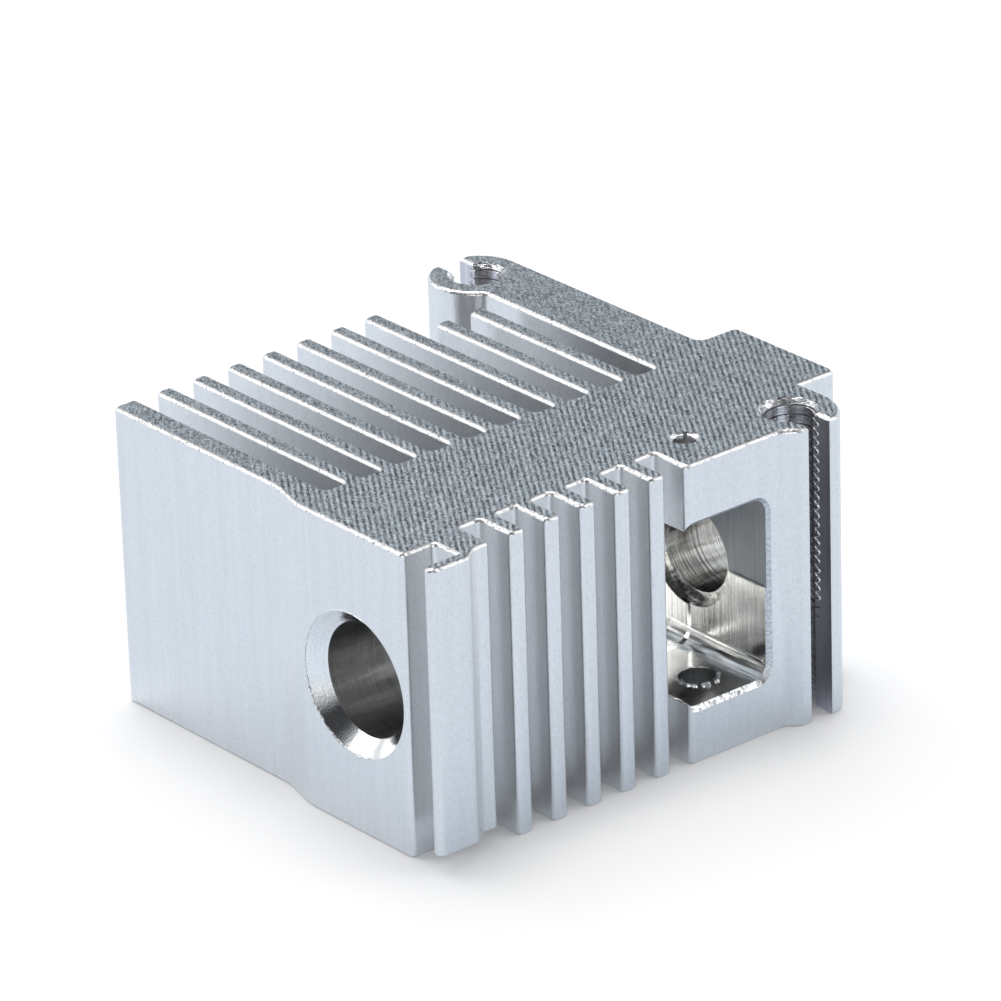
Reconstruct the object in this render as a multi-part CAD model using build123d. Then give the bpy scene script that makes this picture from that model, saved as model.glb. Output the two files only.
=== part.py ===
"""Hotend heat sink: a finned aluminium extrusion with a filament bore, a gear pocket and two screw ports.

Sizes are millimetres. While it is built, x runs from the left face, y from the front fin tips to the
back, and z up from the sawn base. The finished piece is centred on its base.
"""
from build123d import *
import os

# Sawn length of the extrusion and the small chamfers that deburr its two sawn ends.
height = 16.3
top_break = 0.18
base_break = 0.1

# Fins.
fin_pitch = 2.23
fin_thickness = 0.95
tip_radius = 0.3
root_radius = 0.25

# Front row of fins, between the block and the plate.
front_fin_count = 5
front_root_y = 2.34
front_first_x = 5.33

# Rear row of fins, between the end fin and the arm.
rear_fin_count = 9
rear_short_count = 2
rear_first_x = 3.33
rear_root_y = 10.08
rear_tip_y = 25.2
rear_short_tip_y = 22.1

# Block round the left end of the bore, and the ogee that thins it to the end fin.
block_front_y = 1.76
block_right_x = 4.03
end_fin_step = 0.63
end_fin_thickness = 1.42
ogee_start_y = 9.8
ogee_run = 2.3
ogee_radius = 4.0

# Slot at the front left corner, held by a round-nosed lip. Lip and block corner stop short of the base.
slot_depth = 2.0
lip_thickness = 0.72
lip_tip_x = -0.15
lip_ogee_x = 2.2
lip_ogee_run = 0.85
lip_ogee_radius = 0.5
lip_foot = 1.05

# Screw ports, each a round boss cut flat in front of or behind its hole. Their spacing is that of the
# holes of a 30 mm fan, and the hole is the tap drill of an M3 thread.
port_y = 1.62
port_spacing = 24.0
port_bore = 2.5
port_wall = 1.3
port_flat = 2.24
port_slot = 1.4
port_entry = 0.3
port_root_radius = 0.6

# Arm that carries the rear port, one fin pitch past the last rear fin, and how far the shoulder stands
# out on its right.
arm_width = 3.85
shoulder_reach = 2.45
shoulder_front_y = 3.58
shoulder_rear_y = 11.1
shoulder_radius = 0.4

# Filament bore along x: a wide part with a countersink, and past the pocket a shallow chamfered seat,
# a narrower hole for a guide tube and the hole that lets the filament in.
bore_diameter = 6.0
bore_y = 5.82
bore_z = 7.95
countersink_diameter = 7.6
seat_mouth_diameter = 5.68
seat_diameter = 5.42
seat_chamfer = 0.26
seat_depth = 0.53
tube_diameter = 4.45
tube_end_wall = 0.8
filament_diameter = 3.2

# Gear pocket, milled from the front in two depths. It breaks through the left edge of the plate.
pocket_overlap = 0.28
pocket_width = 5.54
pocket_floor_z = 3.05
pocket_roof_z = 12.9
pocket_corner = 0.8
pocket_step_y = 6.0
pocket_back_y = 8.25
pocket_inset = 0.1
pocket_ledge = 0.06
pocket_chamfer = 0.25

# Pin holes above and below the pocket, each so far in from the left edge of the plate.
roof_hole_diameter = 1.5
roof_hole_in = 2.21
roof_hole_y = 2.6
floor_hole_diameter = 2.1
floor_hole_in = 2.79
floor_hole_y = 2.57

# Room that a cutter takes beyond the face it cuts.
clear = 1.0

# Cylinders and cones stand on their middle.
UPWARD = Align.CENTER, Align.CENTER, Align.MIN

# Lengths that follow from the sizes above.
boss_radius = port_bore / 2 + port_wall
end_fin_right_x = end_fin_step + end_fin_thickness
arm_left_x = rear_first_x + rear_fin_count * fin_pitch
arm_right_x = arm_left_x + arm_width
shoulder_right_x = arm_right_x + shoulder_reach
port_x = arm_right_x - boss_radius
plate_left_x = front_first_x + front_fin_count * fin_pitch
pocket_left_x = plate_left_x - pocket_overlap
pocket_right_x = pocket_left_x + pocket_width
roof_hole_x = plate_left_x + roof_hole_in
floor_hole_x = plate_left_x + floor_hole_in
rear_port_y = port_y + port_spacing
front_y = port_y - port_flat
rear_y = rear_port_y + port_flat


def bar(x0, x1, y0, y1):
    """A rectangle between two x places and two y places."""
    return Pos((x0 + x1) / 2, (y0 + y1) / 2) * Rectangle(x1 - x0, y1 - y0)


def corners(sketch, points):
    """The corners of a sketch's outline that lie nearest to the given points."""
    return [sketch.vertices().sort_by_distance((x, y, 0))[0] for x, y in points]


def rounded(sketch, points, radius):
    """The sketch with the corners at the given points rounded."""
    return fillet(corners(sketch, points), radius)


def fin_ends(first_x, count, y):
    """The corner points of a row of fins at one y place, two to a fin."""
    left = [first_x + i * fin_pitch for i in range(count)]
    return [(x, y) for start in left for x in (start, start + fin_thickness)]


def block():
    """The block at the left and the end fin behind it, joined by an ogee."""
    ogee = make_face(
        Polyline(
            (0, ogee_start_y),
            (end_fin_step, ogee_start_y + ogee_run),
            (end_fin_right_x, ogee_start_y + ogee_run),
            (end_fin_right_x, ogee_start_y),
            close=True,
        )
    )
    shape = bar(0, block_right_x, block_front_y, ogee_start_y) + ogee
    shape += bar(end_fin_step, end_fin_right_x, ogee_start_y + ogee_run, rear_tip_y)
    shape = rounded(shape, [(0, ogee_start_y), (end_fin_step, ogee_start_y + ogee_run)], ogee_radius)
    return rounded(shape, [(0, block_front_y)], tip_radius)


def lip():
    """The lip in front of the slot: a round nose at the left, an ogee back to the block's corner."""
    nose_radius = lip_thickness / 2
    nose_x = lip_tip_x + nose_radius
    back_y = front_y + lip_thickness
    shape = Pos(nose_x, front_y + nose_radius) * Circle(nose_radius)
    shape += bar(nose_x, slot_depth, front_y, back_y)
    shape += make_face(
        Polyline(
            (slot_depth, block_front_y),
            (slot_depth, front_y),
            (lip_ogee_x, front_y),
            (lip_ogee_x + lip_ogee_run, 0),
            (block_right_x, 0),
            (block_right_x, block_front_y),
            close=True,
        )
    )
    shape = rounded(shape, [(lip_ogee_x, front_y), (lip_ogee_x + lip_ogee_run, 0)], lip_ogee_radius)
    return rounded(shape, [(block_right_x, 0)], tip_radius)


def reach(aside):
    """How far a boss reaches from its middle, along a line this far aside of it."""
    return (boss_radius**2 - aside**2) ** 0.5


def screw_ports():
    """The bosses of the two screw ports, at the front of the plate and the end of the arm."""
    rounds = Pos(port_x, port_y) * Circle(boss_radius) + Pos(port_x, rear_port_y) * Circle(boss_radius)
    return rounds & bar(port_x - boss_radius, port_x + boss_radius, front_y, rear_y)


def port_cuts():
    """The screw holes, and the slots that open the front one forwards and the rear one backwards."""
    holes = Pos(port_x, port_y) * Circle(port_bore / 2) + Pos(port_x, rear_port_y) * Circle(port_bore / 2)
    half = port_slot / 2
    slots = bar(port_x - half, port_x + half, front_y - clear, port_y)
    slots += bar(port_x - half, port_x + half, rear_port_y, rear_y + clear)
    return holes + slots


def profile():
    """The whole section of the extrusion."""
    spine = bar(slot_depth, shoulder_right_x, front_root_y, rear_root_y)
    spine -= bar(arm_right_x, shoulder_right_x + clear, 0, shoulder_front_y)
    shape = spine + block() + lip()
    shape += bar(plate_left_x, port_x, 0, rear_root_y)
    shape += bar(port_x, arm_right_x, port_y, rear_root_y)
    shape += bar(arm_left_x, arm_right_x, front_root_y, rear_port_y)
    shape += bar(arm_left_x, shoulder_right_x, shoulder_front_y, shoulder_rear_y)
    for i in range(front_fin_count):
        x = front_first_x + i * fin_pitch
        shape += bar(x, x + fin_thickness, 0, front_root_y)
    for i in range(rear_fin_count):
        x = rear_first_x + i * fin_pitch
        long = i < rear_fin_count - rear_short_count
        shape += bar(x, x + fin_thickness, rear_root_y, rear_tip_y if long else rear_short_tip_y)
    shape += screw_ports()
    return shape - port_cuts()


def softened(shape):
    """The section with its fin tips, fin roots and outer corners rounded."""
    long_count = rear_fin_count - rear_short_count
    short_first_x = rear_first_x + long_count * fin_pitch
    tips = fin_ends(front_first_x, front_fin_count, 0)
    tips += fin_ends(rear_first_x, long_count, rear_tip_y)
    tips += fin_ends(short_first_x, rear_short_count, rear_short_tip_y)
    tips += [(end_fin_step, rear_tip_y), (end_fin_right_x, rear_tip_y), (plate_left_x, 0)]
    shape = rounded(shape, tips, tip_radius)
    roots = fin_ends(front_first_x, front_fin_count, front_root_y)
    roots += fin_ends(rear_first_x, rear_fin_count, rear_root_y)
    roots += [(block_right_x, front_root_y), (plate_left_x, front_root_y)]
    roots += [(end_fin_right_x, rear_root_y), (arm_left_x, rear_root_y), (slot_depth, block_front_y)]
    shape = rounded(shape, roots, root_radius)
    port_roots = [(arm_left_x, rear_port_y - reach(port_x - arm_left_x)), (port_x - reach(port_y), 0)]
    shape = rounded(shape, port_roots, port_root_radius)
    shoulder = [(arm_right_x, shoulder_rear_y)]
    shoulder += [(shoulder_right_x, y) for y in (shoulder_front_y, shoulder_rear_y)]
    return rounded(shape, shoulder, shoulder_radius)


def extrusion():
    """The sawn length of extrusion with the outline of both ends deburred."""
    solid = extrude(softened(profile()), height)
    solid = chamfer(solid.edges().filter_by_position(Axis.Z, height, height), top_break)
    return chamfer(solid.edges().filter_by_position(Axis.Z, 0, 0), base_break)


def foot_cut():
    """The cut that stops the lip and the block's front corner short of the base."""
    right_x = block_right_x + root_radius
    below = bar(lip_tip_x - clear, right_x, front_y - clear, block_front_y)
    return extrude(Pos(0, 0, -clear) * below, lip_foot + clear)


def port_entries():
    """The countersinks at the top of the screw holes."""
    wide = port_bore / 2 + port_entry
    cone = Cone(port_bore / 2, wide, port_entry, align=UPWARD)
    middles = [(port_x, port_y), (port_x, rear_port_y)]
    return [Pos(x, y, height - port_entry) * cone for x, y in middles]


def filament_bore():
    """The bore along x, from the countersink in the left face to the small hole in the right face."""
    sink = (countersink_diameter - bore_diameter) / 2
    along = Pos(0, bore_y, bore_z) * Rot(0, 90, 0)
    wide = Cylinder(bore_diameter / 2, pocket_right_x - pocket_inset, align=UPWARD)
    countersink = Cone(countersink_diameter / 2, bore_diameter / 2, sink, align=UPWARD)
    mouth = Cylinder(seat_mouth_diameter / 2, pocket_right_x, align=UPWARD)
    lead_in = Cone(seat_mouth_diameter / 2, seat_diameter / 2, seat_chamfer, align=UPWARD)
    seat = Cylinder(seat_diameter / 2, pocket_right_x + seat_depth, align=UPWARD)
    tube_hole = Cylinder(tube_diameter / 2, arm_right_x - tube_end_wall, align=UPWARD)
    filament_hole = Cylinder(filament_diameter / 2, shoulder_right_x + clear, align=UPWARD)
    front = wide + countersink + mouth + Pos(0, 0, pocket_right_x) * lead_in
    return along * (front + seat + tube_hole + filament_hole)


def upright(left_x, right_x, floor_z, roof_z, corner=pocket_corner):
    """A round-cornered outline that stands in the plane of the fin tips, facing forwards."""
    outline = RectangleRounded(right_x - left_x, roof_z - floor_z, corner)
    return Pos((left_x + right_x) / 2, 0, (floor_z + roof_z) / 2) * Rot(90, 0, 0) * outline


def milled(outline, depth_y):
    """A straight cut with an upright outline, from in front of the plate back to a depth."""
    return extrude(Pos(0, -clear, 0) * outline, -(depth_y + clear))


def gear_pocket():
    """The milled pocket: two depths, a ledge at the height of the bore and a chamfered mouth."""
    left_x, right_x = pocket_left_x, pocket_right_x
    floor_z, roof_z = pocket_floor_z, pocket_roof_z
    inset, grown = pocket_inset, pocket_chamfer
    front = milled(upright(left_x, right_x, floor_z, roof_z), pocket_step_y)
    rear = milled(upright(left_x + inset, right_x - inset, floor_z + inset, roof_z - inset), pocket_back_y)
    ledge = milled(upright(left_x, right_x + pocket_ledge, bore_z - pocket_corner, roof_z), pocket_step_y)
    ledge &= extrude(Pos(0, 0, bore_z) * bar(left_x, right_x + clear, -clear, pocket_step_y), height)
    wide = upright(left_x - grown, right_x + grown, floor_z - grown, roof_z + grown, pocket_corner + grown)
    mouth = extrude(wide, -grown, taper=45)
    return front + rear + ledge + mouth


def pin_holes():
    """The hole through the roof of the pocket and the hole through its floor."""
    middle = (pocket_floor_z + pocket_roof_z) / 2
    roof = Pos(roof_hole_x, roof_hole_y, middle) * Cylinder(roof_hole_diameter / 2, height, align=UPWARD)
    below = middle + clear
    floor = Pos(floor_hole_x, floor_hole_y, -clear) * Cylinder(floor_hole_diameter / 2, below, align=UPWARD)
    return roof + floor


def heat_sink():
    """The finished piece, centred between its ends and its ports, on its base."""
    solid = extrusion() - foot_cut() - port_entries()
    solid = solid - filament_bore() - gear_pocket() - pin_holes()
    return Pos(-(lip_tip_x + shoulder_right_x) / 2, -(front_y + rear_y) / 2, 0) * solid


os.makedirs("parts", exist_ok=True)
piece = heat_sink()
piece.label = "heat_sink"
export_step(piece, "parts/heat_sink.step")
print("heat_sink volume", round(piece.volume, 1), "box", piece.bounding_box().size)
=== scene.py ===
import bpy
import math
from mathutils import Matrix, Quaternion, Vector


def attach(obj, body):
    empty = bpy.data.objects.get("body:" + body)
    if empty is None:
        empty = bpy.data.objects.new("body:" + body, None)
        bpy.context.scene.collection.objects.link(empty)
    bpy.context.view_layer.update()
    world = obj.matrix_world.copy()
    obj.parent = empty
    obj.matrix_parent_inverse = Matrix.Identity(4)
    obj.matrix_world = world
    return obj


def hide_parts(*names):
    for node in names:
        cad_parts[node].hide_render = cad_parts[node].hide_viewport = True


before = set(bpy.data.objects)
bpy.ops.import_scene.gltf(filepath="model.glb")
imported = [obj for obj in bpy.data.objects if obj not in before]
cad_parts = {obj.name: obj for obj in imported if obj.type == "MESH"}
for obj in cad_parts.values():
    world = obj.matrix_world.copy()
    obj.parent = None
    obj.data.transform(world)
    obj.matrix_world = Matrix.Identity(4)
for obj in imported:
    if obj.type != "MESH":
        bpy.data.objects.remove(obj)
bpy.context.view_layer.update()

# Places on the part, in metres, as the CAD model has them.
MM = 0.001
left_face_x = -14.775 * MM
plate_y = -13.62 * MM
top_z, top_break = 16.3 * MM, 0.18 * MM
bore_y, bore_z = -7.8 * MM, 7.95 * MM
bore_radius, sink_radius, sink_depth = 3.0 * MM, 3.8 * MM, 0.9 * MM
seat_x, seat_radius = 6.9 * MM, 2.86 * MM
pocket_low = Vector((1.15, -13.9, 2.75)) * MM
pocket_high = Vector((7.3, -5.3, 13.2)) * MM
pocket_floor_z, pocket_break, ledge_reach = 3.05 * MM, 0.25 * MM, 2.5 * MM
ledge_x, corner_top_z = 6.965 * MM, 3.85 * MM
ports = [(9.925 * MM, -12.0 * MM), (9.925 * MM, 12.0 * MM)]
port_radius, port_entry = 1.25 * MM, 0.3 * MM
port_slot = 1.4 * MM
roof_hole = (3.915 * MM, -11.02 * MM, 0.75 * MM)
floor_hole = (4.495 * MM, -11.05 * MM, 1.05 * MM)

# A hair's breadth, the slack that a place is given where faces are told apart.
hair = 0.01 * MM

# The thread of the screw ports, cut from the top to a tap's depth, and how far a burr swings out round each
# of its grooves, at four points a turn.
thread_radius, thread_pitch, thread_turns = 1.56 * MM, 0.5 * MM, 23
groove_swing = [0.0, 0.24 * MM, 0.38 * MM, 0.3 * MM]

# Burrs round the holes, each an arc from one angle to another in degrees, with its half width. The angles
# of those round the front and the rear port are counted from their slots.
port_burrs = [
    [(33, 60, 0.045 * MM), (118, 150, 0.1 * MM), (165, 250, 0.06 * MM)],
    [(33, 70, 0.04 * MM), (232, 290, 0.12 * MM)],
]
roof_burrs = [(-60, 35, 0.13 * MM), (55, 170, 0.13 * MM), (190, 280, 0.13 * MM)]
floor_burrs = [(20, 150, 0.045 * MM), (165, 228, 0.1 * MM), (238, 262, 0.15 * MM), (274, 330, 0.12 * MM)]
sink_burrs = [(105, -12, 0.035 * MM), (-12, -105, 0.06 * MM)]

# The camera stands where the photograph was taken from.
look_at = Vector((-3.52, -5.71, 13.509)) * MM
camera_azimuth, camera_elevation, camera_roll = -39.429, 24.657, -1.788
camera_distance = 353.379 * MM
camera_lens = 258.37

# All lamps hang this far from the part.
lamp_distance = 0.6


# Small tools for modelling and for materials.

def deselect():
    """Nothing selected, and no mesh in edit mode."""
    if bpy.context.object and bpy.context.object.mode != "OBJECT":
        bpy.ops.object.mode_set(mode="OBJECT")
    bpy.ops.object.select_all(action="DESELECT")


def pick(piece):
    """The piece selected alone and active."""
    deselect()
    piece.select_set(True)
    bpy.context.view_layer.objects.active = piece


def node(tree, kind, x, y, **values):
    """A shader node at a place in the editor, with its settings and its unlinked inputs given by name."""
    made = tree.nodes.new(kind)
    made.location = (x, y)
    for name, value in values.items():
        if name in made.inputs:
            made.inputs[name].default_value = value
        else:
            setattr(made, name, value)
    return made


def ramp(tree, x, y, source, stops):
    """A colour ramp from a value: stops are (place, grey or colour)."""
    made = node(tree, "ShaderNodeValToRGB", x, y)
    elements = made.color_ramp.elements
    while len(elements) < len(stops):
        elements.new(0.5)
    for element, (place, colour) in zip(elements, stops):
        element.position = place
        element.color = (*colour, 1) if isinstance(colour, tuple) else (colour, colour, colour, 1)
    tree.links.new(source, made.inputs["Fac"])
    return made.outputs["Color"]


def reckoned(tree, how, a, b, x=-700, y=0):
    """A value worked out from two others, each a socket or a number."""
    made = node(tree, "ShaderNodeMath", x, y, operation=how)
    for socket, value in zip(made.inputs, (a, b)):
        if isinstance(value, (int, float)):
            socket.default_value = value
        else:
            tree.links.new(value, socket)
    return made.outputs["Value"]


def mixed(tree, a, b, share, x=-850, y=0):
    """One value blended with a share of another."""
    made = node(tree, "ShaderNodeMix", x, y, data_type="FLOAT")
    made.inputs[0].default_value = share
    tree.links.new(a, made.inputs[2])
    tree.links.new(b, made.inputs[3])
    return made.outputs[0]


def multiplied(tree, a, b, x, y):
    """One colour times another."""
    made = node(tree, "ShaderNodeVectorMath", x, y, operation="MULTIPLY")
    tree.links.new(a, made.inputs[0])
    tree.links.new(b, made.inputs[1])
    return made.outputs["Vector"]


def placed(tree, size, turn, y):
    """Object coordinates in steps of a size in millimetres, turned about z by some degrees."""
    where = node(tree, "ShaderNodeTexCoord", -1500, y)
    stretch = node(tree, "ShaderNodeMapping", -1300, y, vector_type="TEXTURE")
    stretch.inputs["Rotation"].default_value = (0, 0, math.radians(turn))
    stretch.inputs["Scale"].default_value = [side * MM for side in size]
    tree.links.new(where.outputs["Object"], stretch.inputs["Vector"])
    return stretch.outputs["Vector"]


def grain(tree, size, turn=0.0, y=0, detail=2.0):
    """Noise whose grains have a size in millimetres along x, y and z."""
    noise = node(tree, "ShaderNodeTexNoise", -1050, y, Scale=1.0, Detail=detail, Roughness=0.6)
    tree.links.new(placed(tree, size, turn, y), noise.inputs["Vector"])
    return noise.outputs["Fac"]


def marks(tree, period, turn, y, wander, length):
    """Parallel marks with a period in millimetres, counted along x turned by some degrees."""
    step = period * 20 / math.tau
    wave = node(tree, "ShaderNodeTexWave", -1050, y, Scale=1.0, Distortion=wander, Detail=2.0)
    wave.inputs["Detail Scale"].default_value = 1.0
    tree.links.new(placed(tree, (step, length, length), turn, y), wave.inputs["Vector"])
    return wave.outputs["Fac"]


def new_material(name, base, roughness):
    """A metal with its shader in place; the rest is linked by the caller."""
    material = bpy.data.materials.new(name)
    material.use_nodes = True
    tree = material.node_tree
    shader = tree.nodes["Principled BSDF"]
    shader.inputs["Base Color"].default_value = (*base, 1)
    shader.inputs["Metallic"].default_value = 1.0
    shader.inputs["Roughness"].default_value = roughness
    return material, tree, shader


def tinted(tree, shader, source, dark, light, low=0.3, high=0.7):
    """The base colour goes from dark to light with a value."""
    tree.links.new(ramp(tree, -450, 250, source, [(low, dark), (high, light)]), shader.inputs["Base Color"])


def bumped(tree, shader, source, depth):
    """Relief from a value, with its depth in millimetres."""
    bump = node(tree, "ShaderNodeBump", -250, -350, Strength=1.0, Distance=depth * MM)
    tree.links.new(source, bump.inputs["Height"])
    tree.links.new(bump.outputs["Normal"], shader.inputs["Normal"])


# Finishes.

def extruded_skin():
    """Etched extruded faces: pale and satin, finely speckled, with a few pits."""
    material, tree, shader = new_material("extruded_skin", (0.94, 0.94, 0.94), 0.29)
    speckle = grain(tree, (0.12, 0.12, 0.12), y=200, detail=3.0)
    lines = grain(tree, (0.35, 0.35, 9.0), y=-200)
    pits = grain(tree, (0.2, 0.2, 0.2), y=-500, detail=1.0)
    both = mixed(tree, speckle, lines, 0.3)
    pitted = reckoned(tree, "MULTIPLY", both, ramp(tree, -800, -500, pits, [(0.25, 0.0), (0.33, 1.0)]))
    tinted(tree, shader, pitted, (0.86, 0.86, 0.86), (0.98, 0.98, 0.98), 0.35, 0.65)
    bumped(tree, shader, pitted, 0.012)
    return material


def sawn_end():
    """Sawn ends: scratched all over, with saw marks that fade out towards the back, a base colour kept dark
    as painted shade, and white specks that are painted glints.
    """
    material, tree, shader = new_material("sawn_end", (0.6, 0.65, 0.69), 0.34)
    saw = marks(tree, 0.294, -34, 700, 1.0, 1.1)
    along = grain(tree, (0.085, 0.5, 1.0), turn=-34, y=450)
    across = grain(tree, (0.7, 0.11, 1.0), turn=-62, y=200)
    spark = grain(tree, (0.13, 0.13, 0.13), y=-50, detail=4.0)
    parts = node(tree, "ShaderNodeSeparateXYZ", -1100, -300)
    tree.links.new(placed(tree, (1, 40, 1), 0, -300), parts.inputs[0])
    back = reckoned(tree, "ADD", parts.outputs["Y"], 0.5, -950, -300)
    fade = ramp(tree, -800, -300, back, [(0.44, 0.15), (0.55, 0.03)])
    scratches = mixed(tree, mixed(tree, along, across, 0.25, -850, 300), spark, 0.5, -750, 150)
    pulse = reckoned(tree, "MULTIPLY", reckoned(tree, "SUBTRACT", saw, 0.5, -850, 700), fade, -700, 500)
    both = reckoned(tree, "ADD", scratches, pulse, -550, 100)
    specks = grain(tree, (0.1, 0.1, 0.1), y=-550, detail=1.0)
    # Painted glints: white specks in the base colour.
    painted_glints = ramp(tree, -450, 500, specks, [(0.64, 0.0), (0.7, 1.0)])
    # The base colour is dark overall as painted shade, varied by the scratches and the saw marks.
    shade = ramp(tree, -450, 250, both, [(0.38, (0.025, 0.038, 0.05)), (0.65, (0.6, 0.66, 0.705))])
    painted_sparkle = node(tree, "ShaderNodeVectorMath", -150, 350, operation="MAXIMUM")
    tree.links.new(painted_glints, painted_sparkle.inputs[0])
    tree.links.new(shade, painted_sparkle.inputs[1])
    tree.links.new(painted_sparkle.outputs["Vector"], shader.inputs["Base Color"])
    bumped(tree, shader, both, 0.034)
    return material


def broken_edge():
    """The top edges, rounded over, nicked and chipped by the brush that deburred them; their base colour is
    a painted glint, white low on the edge and darker towards the top as painted shade.
    """
    material, tree, shader = new_material("broken_edge", (0.95, 0.95, 0.95), 0.3)
    where = node(tree, "ShaderNodeTexCoord", -1500, 400)
    parts = node(tree, "ShaderNodeSeparateXYZ", -1300, 400)
    tree.links.new(where.outputs["Object"], parts.inputs[0])
    half = top_break / 2
    down = reckoned(tree, "SUBTRACT", parts.outputs["Z"], top_z - half, -1150, 400)
    across = reckoned(tree, "DIVIDE", down, half, -1000, 400)
    round_over = reckoned(tree, "MULTIPLY", across, across, -850, 400)
    nicks = reckoned(tree, "MULTIPLY", grain(tree, (0.26, 0.26, 0.26), y=0, detail=3.0), 1.9, -850, 0)
    bumped(tree, shader, reckoned(tree, "SUBTRACT", nicks, round_over, -600, 100), 0.03)
    chips = grain(tree, (0.13, 0.13, 0.13), y=-300, detail=3.0)
    chipped = ramp(tree, -800, -300, chips, [(0.34, 0.35), (0.43, 1.0)])
    # Painted glint: the base colour is white low on the edge and darker towards the top, which is painted
    # shade.
    share = reckoned(tree, "MULTIPLY", reckoned(tree, "ADD", across, 1.0, -950, 600), 0.5, -800, 600)
    painted_glint_band = ramp(tree, -600, 400, share, [(0.5, 0.99), (0.85, 0.3)])
    tree.links.new(multiplied(tree, painted_glint_band, chipped, -300, 250), shader.inputs["Base Color"])
    return material


def cut_edge():
    """Small edges left by a cutter, bright where they aren't chipped."""
    material, tree, shader = new_material("cut_edge", (0.95, 0.95, 0.95), 0.3)
    chips = grain(tree, (0.2, 0.2, 0.2), detail=3.0)
    tinted(tree, shader, chips, (0.34, 0.35, 0.37), (1.0, 1.0, 1.0), 0.4, 0.5)
    bumped(tree, shader, chips, 0.05)
    return material


def torn_edge():
    """Edges torn by a cutter: coarse and rather dark."""
    material, tree, shader = new_material("torn_edge", (0.7, 0.72, 0.75), 0.45)
    torn = grain(tree, (0.16, 0.16, 0.12), detail=3.0)
    tinted(tree, shader, torn, (0.55, 0.58, 0.62), (0.88, 0.9, 0.94), 0.35, 0.6)
    bumped(tree, shader, torn, 0.05)
    return material


def torn_metal():
    """Burrs: bare and bright."""
    material, tree, shader = new_material("torn_metal", (0.96, 0.96, 0.96), 0.22)
    bumped(tree, shader, grain(tree, (0.12, 0.12, 0.12), detail=2.0), 0.02)
    return material


def bored_wall():
    """Bored along x: rings from the tool and brownish streaks along the hole."""
    material, tree, shader = new_material("bored_wall", (0.93, 0.92, 0.9), 0.24)
    rings = grain(tree, (0.1, 5.0, 5.0), y=150, detail=3.0)
    drag = grain(tree, (3.0, 0.3, 0.3), y=-150)
    both = mixed(tree, rings, drag, 0.5)
    tinted(tree, shader, both, (0.8, 0.76, 0.72), (1.0, 1.0, 1.0), 0.38, 0.54)
    bumped(tree, shader, both, 0.025)
    return material


def reamed_seat():
    """The seat and the hole behind it: reamed bright, with a few deep rings."""
    material, tree, shader = new_material("reamed_seat", (0.95, 0.94, 0.92), 0.17)
    rings = grain(tree, (0.14, 6.0, 6.0), y=150, detail=2.0)
    drag = grain(tree, (5.0, 0.45, 0.45), y=-150)
    both = mixed(tree, rings, drag, 0.55)
    tinted(tree, shader, both, (0.6, 0.58, 0.55), (1.0, 0.99, 0.96), 0.4, 0.58)
    bumped(tree, shader, both, 0.05)
    return material


def countersunk_wall():
    """The countersink: turned bright, with chatter that sparkles."""
    material, tree, shader = new_material("countersunk_wall", (0.93, 0.935, 0.94), 0.09)
    rings = grain(tree, (0.1, 3.0, 3.0), y=150, detail=3.0)
    chatter = grain(tree, (0.1, 0.1, 0.1), y=-150, detail=3.0)
    both = mixed(tree, rings, chatter, 0.65)
    tinted(tree, shader, both, (0.84, 0.85, 0.86), (1.0, 1.0, 1.0), 0.36, 0.58)
    bumped(tree, shader, both, 0.014)
    return material


def milled_wall():
    """The walls of the gear pocket: fine upright cutter marks that spread the light sideways."""
    material, tree, shader = new_material("milled_wall", (0.98, 0.97, 0.955), 0.11)
    sideways = node(tree, "ShaderNodeTangent", -450, -500, direction_type="RADIAL", axis="Z")
    tree.links.new(sideways.outputs["Tangent"], shader.inputs["Tangent"])
    shader.inputs["Anisotropic"].default_value = 0.8
    strokes = grain(tree, (0.09, 0.09, 5.0), y=0, detail=3.0)
    tinted(tree, shader, strokes, (0.8, 0.79, 0.77), (1.0, 1.0, 0.985), 0.38, 0.58)
    bumped(tree, shader, strokes, 0.01)
    return material


def milled_floor():
    """The floor of the gear pocket and its round corners: cut bright along y."""
    material, tree, shader = new_material("milled_floor", (0.95, 0.945, 0.93), 0.1)
    strokes = grain(tree, (0.14, 3.0, 0.14), y=0, detail=3.0)
    tinted(tree, shader, strokes, (0.88, 0.885, 0.88), (1.0, 1.0, 0.99), 0.36, 0.62)
    bumped(tree, shader, strokes, 0.01)
    return material


def milled_dull():
    """The upper side of the gear pocket, rubbed smooth and dull, with a darker base colour that is painted
    shade.
    """
    material, tree, shader = new_material("milled_dull", (0.72, 0.75, 0.78), 0.45)
    strokes = grain(tree, (0.25, 0.25, 3.0), y=0)
    # Base colour darkened as painted shade.
    tinted(tree, shader, strokes, (0.53, 0.56, 0.59), (0.64, 0.67, 0.7))
    return material


def threaded_wall():
    """The tapped holes: fine torn turns."""
    material, tree, shader = new_material("threaded_wall", (0.8, 0.79, 0.8), 0.26)
    torn = grain(tree, (0.6, 0.6, 0.1), y=0, detail=3.0)
    tinted(tree, shader, torn, (0.5, 0.49, 0.5), (0.97, 0.96, 0.97), 0.36, 0.6)
    bumped(tree, shader, torn, 0.02)
    return material


def port_mouth():
    """The entries of the tapped holes: nicked by the tap, dark with bright tears."""
    material, tree, shader = new_material("port_mouth", (0.8, 0.8, 0.82), 0.2)
    torn = grain(tree, (0.24, 0.24, 0.12), y=0, detail=3.0)
    tinted(tree, shader, torn, (0.26, 0.26, 0.28), (0.92, 0.92, 0.94), 0.36, 0.56)
    bumped(tree, shader, torn, 0.035)
    return material


def slot_wall():
    """The slots that open the screw holes: drawn smooth by the die and rather dark."""
    material, tree, shader = new_material("slot_wall", (0.74, 0.73, 0.77), 0.3)
    lines = grain(tree, (0.3, 0.12, 9.0), y=0)
    tinted(tree, shader, lines, (0.66, 0.65, 0.69), (0.82, 0.81, 0.85))
    bumped(tree, shader, lines, 0.006)
    return material


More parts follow.
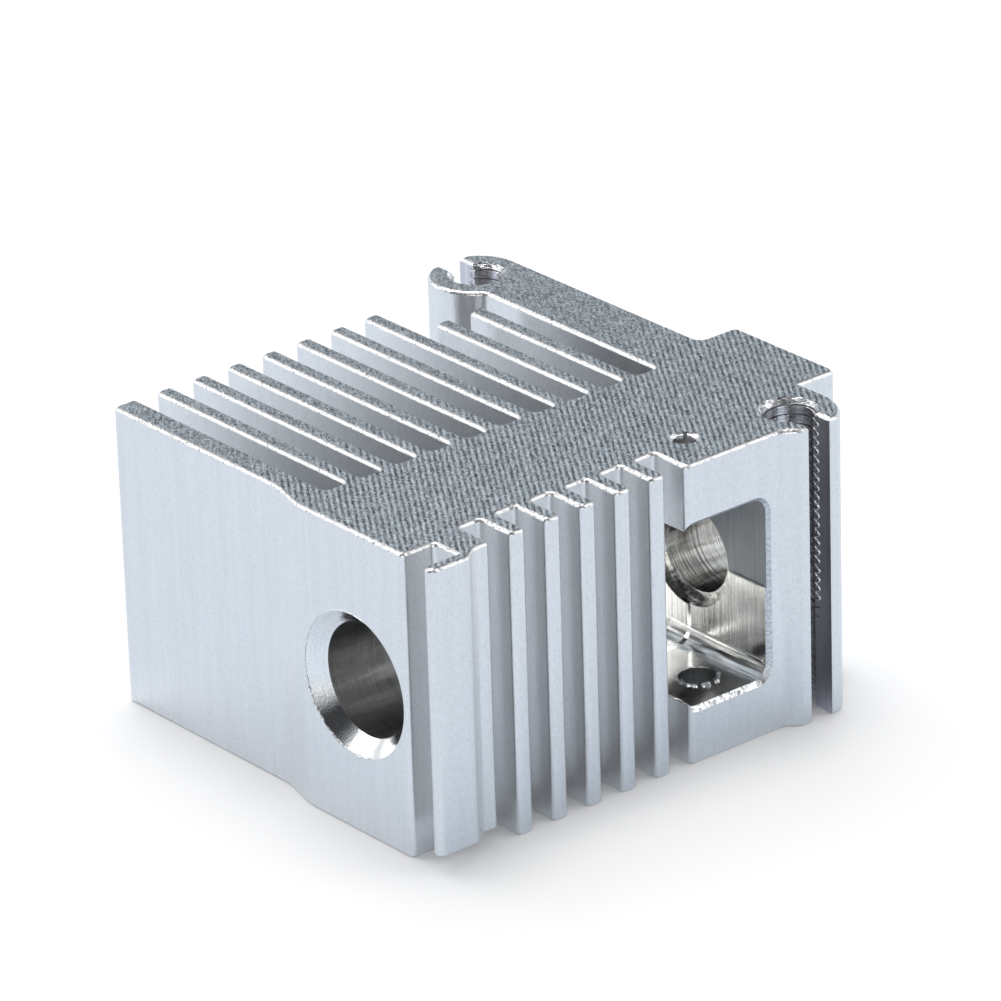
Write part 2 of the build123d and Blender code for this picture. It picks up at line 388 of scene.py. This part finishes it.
def floor_paper():
    """White paper that glows for the camera, less so close to the part as a painted contact shadow, and
    shows a bluish glow in reflections as a painted reflection.
    """
    material = bpy.data.materials.new("floor_paper")
    material.use_nodes = True
    tree = material.node_tree
    tree.nodes.clear()
    out = node(tree, "ShaderNodeOutputMaterial", 600, 0)
    paper = node(tree, "ShaderNodeBsdfDiffuse", -200, 100, Color=(0.9, 0.9, 0.91, 1))
    # Painted reflection: a bluish glow that only reflections see.
    painted_reflection_tint = node(tree, "ShaderNodeEmission", -200, -100, Color=(0.42, 0.545, 0.69, 1), Strength=1.0)
    glow = node(tree, "ShaderNodeEmission", 100, -200, Color=(1, 1, 1, 1), Strength=1.06)
    path = node(tree, "ShaderNodeLightPath", -700, 300)
    corner = node(tree, "ShaderNodeAmbientOcclusion", -700, 0, samples=6, Distance=5 * MM)
    open_air = reckoned(tree, "POWER", corner.outputs["AO"], 1.5, -450, 0)
    reflected = node(tree, "ShaderNodeMixShader", 100, 0)
    seen = node(tree, "ShaderNodeMixShader", 400, 0)
    mirrored = reckoned(tree, "MULTIPLY", path.outputs["Is Glossy Ray"], corner.outputs["AO"], -400, 250)
    tree.links.new(reckoned(tree, "MULTIPLY", mirrored, 0.5, -200, 300), reflected.inputs["Fac"])
    # Painted contact shadow: the glow for the camera is cut near the part by the occlusion.
    near = reckoned(tree, "MULTIPLY", path.outputs["Is Camera Ray"], open_air, -100, 450)
    tree.links.new(reckoned(tree, "MULTIPLY", near, 0.62, 100, 300), seen.inputs["Fac"])
    tree.links.new(paper.outputs[0], reflected.inputs[1])
    tree.links.new(painted_reflection_tint.outputs[0], reflected.inputs[2])
    tree.links.new(reflected.outputs[0], seen.inputs[1])
    tree.links.new(glow.outputs[0], seen.inputs[2])
    tree.links.new(seen.outputs[0], out.inputs["Surface"])
    return material


# The thread in the screw ports.

def screw_tap():
    """A tap's cutting edge: a pointed ridge that winds down round z."""
    deselect()
    inner = port_radius - 0.06 * MM
    bpy.ops.mesh.primitive_plane_add(size=1, location=(0, 0, 0))
    tap = bpy.context.object
    tap.name = "screw_tap"
    bpy.ops.object.mode_set(mode="EDIT")
    bpy.ops.transform.resize(value=(thread_radius - inner, thread_pitch * 0.86, 1))
    bpy.ops.transform.rotate(value=math.radians(90), orient_axis="X", center_override=(0, 0, 0))
    bpy.ops.transform.translate(value=((thread_radius + inner) / 2, 0, top_z + thread_pitch / 2))
    bpy.ops.object.mode_set(mode="OBJECT")
    for corner in tap.data.vertices:
        corner.select = corner.co.x > port_radius
    bpy.ops.object.mode_set(mode="EDIT")
    bpy.ops.transform.resize(value=(1, 1, 0.14), center_override=(0, 0, top_z + thread_pitch / 2))
    bpy.ops.mesh.select_all(action="SELECT")
    bpy.ops.mesh.delete(type="ONLY_FACE")
    bpy.ops.object.mode_set(mode="OBJECT")
    winding = tap.modifiers.new("winding", "SCREW")
    winding.axis = "Z"
    winding.screw_offset = -thread_pitch
    winding.iterations = thread_turns
    winding.steps = winding.render_steps = 28
    bpy.ops.object.modifier_apply(modifier=winding.name)
    bpy.ops.object.mode_set(mode="EDIT")
    bpy.ops.mesh.select_all(action="SELECT")
    bpy.ops.mesh.remove_doubles(threshold=0.000001)
    bpy.ops.mesh.select_all(action="DESELECT")
    bpy.ops.mesh.select_non_manifold()
    bpy.ops.mesh.fill_holes(sides=4)
    bpy.ops.mesh.select_all(action="SELECT")
    bpy.ops.mesh.normals_make_consistent(inside=False)
    bpy.ops.object.mode_set(mode="OBJECT")
    return tap


def tapped(piece, tap, x, y):
    """The piece with a thread cut in the screw hole at a place, by a copy of the tap."""
    cutter = tap.copy()
    cutter.data = tap.data.copy()
    bpy.context.collection.objects.link(cutter)
    pick(cutter)
    bpy.ops.object.mode_set(mode="EDIT")
    bpy.ops.mesh.select_all(action="SELECT")
    bpy.ops.transform.translate(value=(x, y, 0))
    bpy.ops.object.mode_set(mode="OBJECT")
    pick(piece)
    cut = piece.modifiers.new("thread", "BOOLEAN")
    cut.operation = "DIFFERENCE"
    cut.solver = "EXACT"
    cut.object = cutter
    bpy.ops.object.modifier_apply(modifier=cut.name)
    bpy.data.objects.remove(cutter)


# Burrs, each a ragged bead of torn metal along a line.

def burr(name, points, width, raggedness, metal):
    """A bead of a half width along points, pushed in and out by a cloud of noise."""
    deselect()
    line = bpy.data.curves.new(name, "CURVE")
    line.dimensions = "3D"
    line.bevel_depth = width
    line.bevel_resolution = 1
    line.use_fill_caps = True
    run = line.splines.new("POLY")
    run.points.add(len(points) - 1)
    for point, place in zip(run.points, points):
        point.co = (*place, 1)
    bead = bpy.data.objects.new(name, line)
    bpy.context.collection.objects.link(bead)
    pick(bead)
    bpy.ops.object.convert(target="MESH")
    bead = bpy.context.object
    cloud = bpy.data.textures.new(name, "CLOUDS")
    cloud.noise_scale = 0.16 * MM
    push = bead.modifiers.new("ragged", "DISPLACE")
    push.texture = cloud
    push.texture_coords = "LOCAL"
    push.strength = raggedness
    push.mid_level = 0.5
    bpy.ops.object.modifier_apply(modifier=push.name)
    bead.data.materials.clear()
    bead.data.materials.append(metal)
    return bead


def ring(centre, radius, start, end, flat="Z"):
    """Points of an arc, in degrees, round an upright axis or round x."""
    count = max(8, round(abs(end - start) * math.radians(radius / (0.07 * MM))))
    points = []
    for step in range(count + 1):
        angle = math.radians(start + (end - start) * step / count)
        a, b = radius * math.cos(angle), radius * math.sin(angle)
        points.append(centre + (Vector((a, b, 0)) if flat == "Z" else Vector((0, a, b))))
    return points


def scallops(x, edge_y, outwards):
    """Points down a slot's edge that swing outwards round each groove of the thread."""
    points = []
    for step in range(4 * (thread_turns - 3)):
        depth = 0.35 * MM + step * thread_pitch / 4
        points.append(Vector((x, edge_y + outwards * groove_swing[step % 4], top_z - depth)))
    return points


def port_beads(metal):
    """The burrs of both screw ports: round the entry, and down the two ends of the thread in the slot."""
    made = []
    for number, (x, y) in enumerate(ports):
        side = -1 if y < 0 else 1
        radius = port_radius + port_entry - 2 * hair
        for part, (start, end, width) in enumerate(port_burrs[number]):
            rim = Vector((x, y, top_z - width - 6 * hair))
            arc = ring(rim, radius, 90 * side + start, 90 * side + end)
            made.append(burr(f"port_burr_{number}_{part}", arc, width, 0.1 * MM, metal))
        edge_y = y + side * math.sqrt(port_radius ** 2 - (port_slot / 2) ** 2)
        for way in (-1, 1):
            points = scallops(x + way * (port_slot / 2 - hair), edge_y, side)
            made.append(burr(f"thread_burr_{number}_{way + 1}", points, 0.045 * MM, 0.09 * MM, metal))
    return made


def hole_beads(metal):
    """The burrs round the two pin holes and round the countersink."""
    made = []
    x, y, radius = roof_hole
    rim = Vector((x, y, top_z - 0.22 * MM))
    for part, (start, end, width) in enumerate(roof_burrs):
        arc = ring(rim, radius - 0.07 * MM, start, end)
        made.append(burr(f"roof_hole_burr_{part}", arc, width, 0.15 * MM, metal))
    x, y, radius = floor_hole
    rim = Vector((x, y, pocket_floor_z + 2 * hair))
    for part, (start, end, width) in enumerate(floor_burrs):
        arc = ring(rim, radius, start, end)
        made.append(burr(f"floor_hole_burr_{part}", arc, width, 2.4 * width, metal))
    rim = Vector((left_face_x + hair, bore_y, bore_z))
    for part, (start, end, width) in enumerate(sink_burrs):
        arc = ring(rim, sink_radius, start, end, flat="X")
        made.append(burr(f"countersink_burr_{part}", arc, width, 2.5 * width, metal))
    return made


def cutter_lines(metal):
    """Thin ridges that the cutter left in the pocket: on the ledge and along the top of the corner."""
    ledge = [Vector((ledge_x, plate_y + y * MM, bore_z)) for y in (0.4, 1.2, 2.0, 2.8)]
    corner = [Vector((ledge_x - hair, plate_y + y * MM, corner_top_z)) for y in (0.5, 2.0, 4.0, 5.9)]
    lines = [("ledge_line", ledge), ("corner_line", corner)]
    return [burr(name, points, 0.055 * MM, 0.02 * MM, metal) for name, points in lines]


# The heat sink itself.

def finished_copy(source):
    """A copy of the CAD piece, merged, with its screw holes tapped."""
    deselect()
    piece = source.copy()
    piece.data = source.data.copy()
    piece.name = "heat_sink_finished"
    bpy.context.collection.objects.link(piece)
    pick(piece)
    bpy.ops.mesh.customdata_custom_splitnormals_clear()
    bpy.ops.object.mode_set(mode="EDIT")
    bpy.ops.mesh.select_all(action="SELECT")
    bpy.ops.mesh.remove_doubles(threshold=0.0000005)
    bpy.ops.object.mode_set(mode="OBJECT")
    tap = screw_tap()
    for x, y in ports:
        tapped(piece, tap, x, y)
    bpy.data.objects.remove(tap)
    pick(piece)
    bpy.ops.object.shade_smooth_by_angle(angle=math.radians(28))
    return piece


def aside(point, x, y):
    """Distance of a point from an upright line."""
    return math.hypot(point.x - x, point.y - y)


def port_finish(centre, normal):
    """The finish of a face in a screw port or in its slot, or nothing for a face that is elsewhere."""
    for x, y in ports:
        in_slot = abs(centre.y) > abs(y) and abs(abs(centre.x - x) - port_slot / 2) < hair
        if in_slot and abs(normal.x) > 0.98:
            return "slot_wall"
        if aside(centre, x, y) < port_radius + port_entry + 4 * hair and abs(normal.z) < 0.95:
            return "port_mouth" if normal.z > 0.5 and centre.z > top_z - port_entry else "threaded_wall"
    return None


def bore_finish(centre, normal):
    """The finish of a face in the bore or in a pin hole, or nothing for a face that is elsewhere."""
    from_bore = math.hypot(centre.y - bore_y, centre.z - bore_z)
    if centre.x < left_face_x + sink_depth and from_bore < sink_radius and -0.95 < normal.x < -0.3:
        return "countersunk_wall"
    if centre.x > seat_x and from_bore < seat_radius:
        return "reamed_seat"
    if from_bore < bore_radius + 2 * hair and abs(normal.x) < 0.98:
        return "bored_wall"
    for x, y, radius in (roof_hole, floor_hole):
        if aside(centre, x, y) < radius + 2 * hair and abs(normal.z) < 0.1:
            return "bored_wall"
    return None


def pocket_finish(centre, normal):
    """The finish of a face in the gear pocket, or nothing for a face that is elsewhere."""
    if not all(low < value < high for low, value, high in zip(pocket_low, centre, pocket_high)):
        return None
    if centre.y < plate_y + pocket_break:
        if normal.y < -0.95:
            return "extruded_skin"
        if normal.y < -0.3:
            return "cut_edge" if normal.z > 0.6 else "torn_edge"
    if normal.z > 0.7 and centre.z > bore_z - ledge_reach:
        return "cut_edge"
    if normal.z > 0.05:
        return "milled_floor"
    return "milled_dull" if normal.x < -0.9 and centre.z > bore_z else "milled_wall"


def end_finish(centre, normal):
    """The finish of a face on a sawn end or on the edge round the top, or nothing for a face elsewhere."""
    if centre.z > top_z - top_break - hair and 0.3 < normal.z < 0.95:
        return "broken_edge"
    at_an_end = centre.z > top_z - 2 * hair or centre.z < 2 * hair
    return "sawn_end" if abs(normal.z) > 0.95 and at_an_end else None


def finish_of(centre, normal):
    """Which finish a face of the heat sink has, by its place and the way it faces."""
    for finish in (port_finish, end_finish, bore_finish, pocket_finish):
        found = finish(centre, normal)
        if found:
            return found
    return "extruded_skin"


def dressed(piece, finishes):
    """The piece with a finish for each of its faces."""
    piece.data.materials.clear()
    names = [made.name for made in finishes]
    for made in finishes:
        piece.data.materials.append(made)
    for face in piece.data.polygons:
        face.material_index = names.index(finish_of(face.center, face.normal))


heat_sink = finished_copy(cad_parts["heat_sink"])
dressed(heat_sink, [
    extruded_skin(), sawn_end(), broken_edge(), cut_edge(), torn_edge(),
    bored_wall(), reamed_seat(), countersunk_wall(), milled_wall(), milled_floor(), milled_dull(),
    threaded_wall(), port_mouth(), slot_wall(),
])
bare = torn_metal()
ridges = port_beads(bare) + hole_beads(bare) + cutter_lines(bare)
pick(heat_sink)
for bead in ridges:
    bead.select_set(True)
bpy.ops.object.join()
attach(heat_sink, "root")
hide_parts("heat_sink")


# The studio.

def heading(azimuth, elevation):
    """The direction from the part to a place round it: azimuth 0 is in front and 90 at the right."""
    a, e = math.radians(azimuth), math.radians(elevation)
    return Vector((math.sin(a) * math.cos(e), -math.cos(a) * math.cos(e), math.sin(e)))


def camera():
    """A long lens from the front left, a little above the part."""
    back = heading(camera_azimuth, camera_elevation)
    turn = (-back).to_track_quat("-Z", "Y") @ Quaternion((0, 0, 1), math.radians(camera_roll))
    bpy.ops.object.camera_add(location=look_at + back * camera_distance, rotation=turn.to_euler())
    made = bpy.context.object
    made.data.lens = camera_lens
    made.data.clip_start, made.data.clip_end = 0.01, 10
    bpy.context.scene.camera = made


def softbox(name, azimuth, elevation, size, brightness):
    """A square lamp that faces the part. Brightness is what its surface shows in a mirror."""
    way = heading(azimuth, elevation)
    turn = way.to_track_quat("Z", "Y").to_euler()
    bpy.ops.object.light_add(type="AREA", location=way * lamp_distance, rotation=turn)
    lamp = bpy.context.object
    lamp.name = name
    lamp.data.shape = "SQUARE"
    lamp.data.size = size
    lamp.data.energy = brightness * math.pi * size * size


def room():
    """A room that is bright behind the part and round the camera, dim between, and white to the camera."""
    world = bpy.data.worlds.new("room")
    bpy.context.scene.world = world
    world.use_nodes = True
    tree = world.node_tree
    tree.nodes.clear()
    out = node(tree, "ShaderNodeOutputWorld", 600, 0)
    walls = node(tree, "ShaderNodeBackground", 200, 100)
    white = node(tree, "ShaderNodeBackground", 200, -100, Color=(1, 1, 1, 1), Strength=1.0)
    way = node(tree, "ShaderNodeTexCoord", -1100, 0)
    parts = node(tree, "ShaderNodeSeparateXYZ", -900, 0)
    tree.links.new(way.outputs["Generated"], parts.inputs[0])
    pale, mid = (0.92, 0.96, 0.985), (0.5, 0.52, 0.545)
    bands = [(0.0, pale), (0.1, pale), (0.3, mid), (0.8, mid), (0.97, pale)]
    height = ramp(tree, -450, 0, parts.outputs["Z"], bands)
    backwards = node(tree, "ShaderNodeVectorMath", -900, -250, operation="DOT_PRODUCT")
    backwards.inputs[1].default_value = 0.5 * heading(140, 0)
    tree.links.new(way.outputs["Generated"], backwards.inputs[0])
    behind = reckoned(tree, "ADD", backwards.outputs["Value"], 0.5, -700, -250)
    slices = [(0.0, 0.85), (0.07, 0.85), (0.12, 0.08), (0.34, 0.1), (0.55, 1.0)]
    depth = ramp(tree, -450, -250, behind, slices)
    tree.links.new(multiplied(tree, height, depth, -100, 0), walls.inputs["Color"])
    path = node(tree, "ShaderNodeLightPath", 0, 400)
    blend = node(tree, "ShaderNodeMixShader", 400, 0)
    tree.links.new(path.outputs["Is Camera Ray"], blend.inputs["Fac"])
    tree.links.new(walls.outputs[0], blend.inputs[1])
    tree.links.new(white.outputs[0], blend.inputs[2])
    tree.links.new(blend.outputs[0], out.inputs["Surface"])


def studio():
    """A white floor and four soft lamps."""
    bpy.ops.mesh.primitive_plane_add(size=4.0, location=(0, 0, 0))
    floor = bpy.context.object
    floor.name = "floor"
    floor.data.materials.append(floor_paper())
    softbox("softbox_left", 213, 30, 0.33, 1.3)
    softbox("softbox_right", 47, 30, 0.42, 1.2)
    softbox("softbox_front", 321, 25, 0.26, 1.9)
    softbox("softbox_top", 165, 68, 0.4, 5.0)
    room()


camera()
studio()
bpy.context.scene.view_settings.view_transform = "Standard"
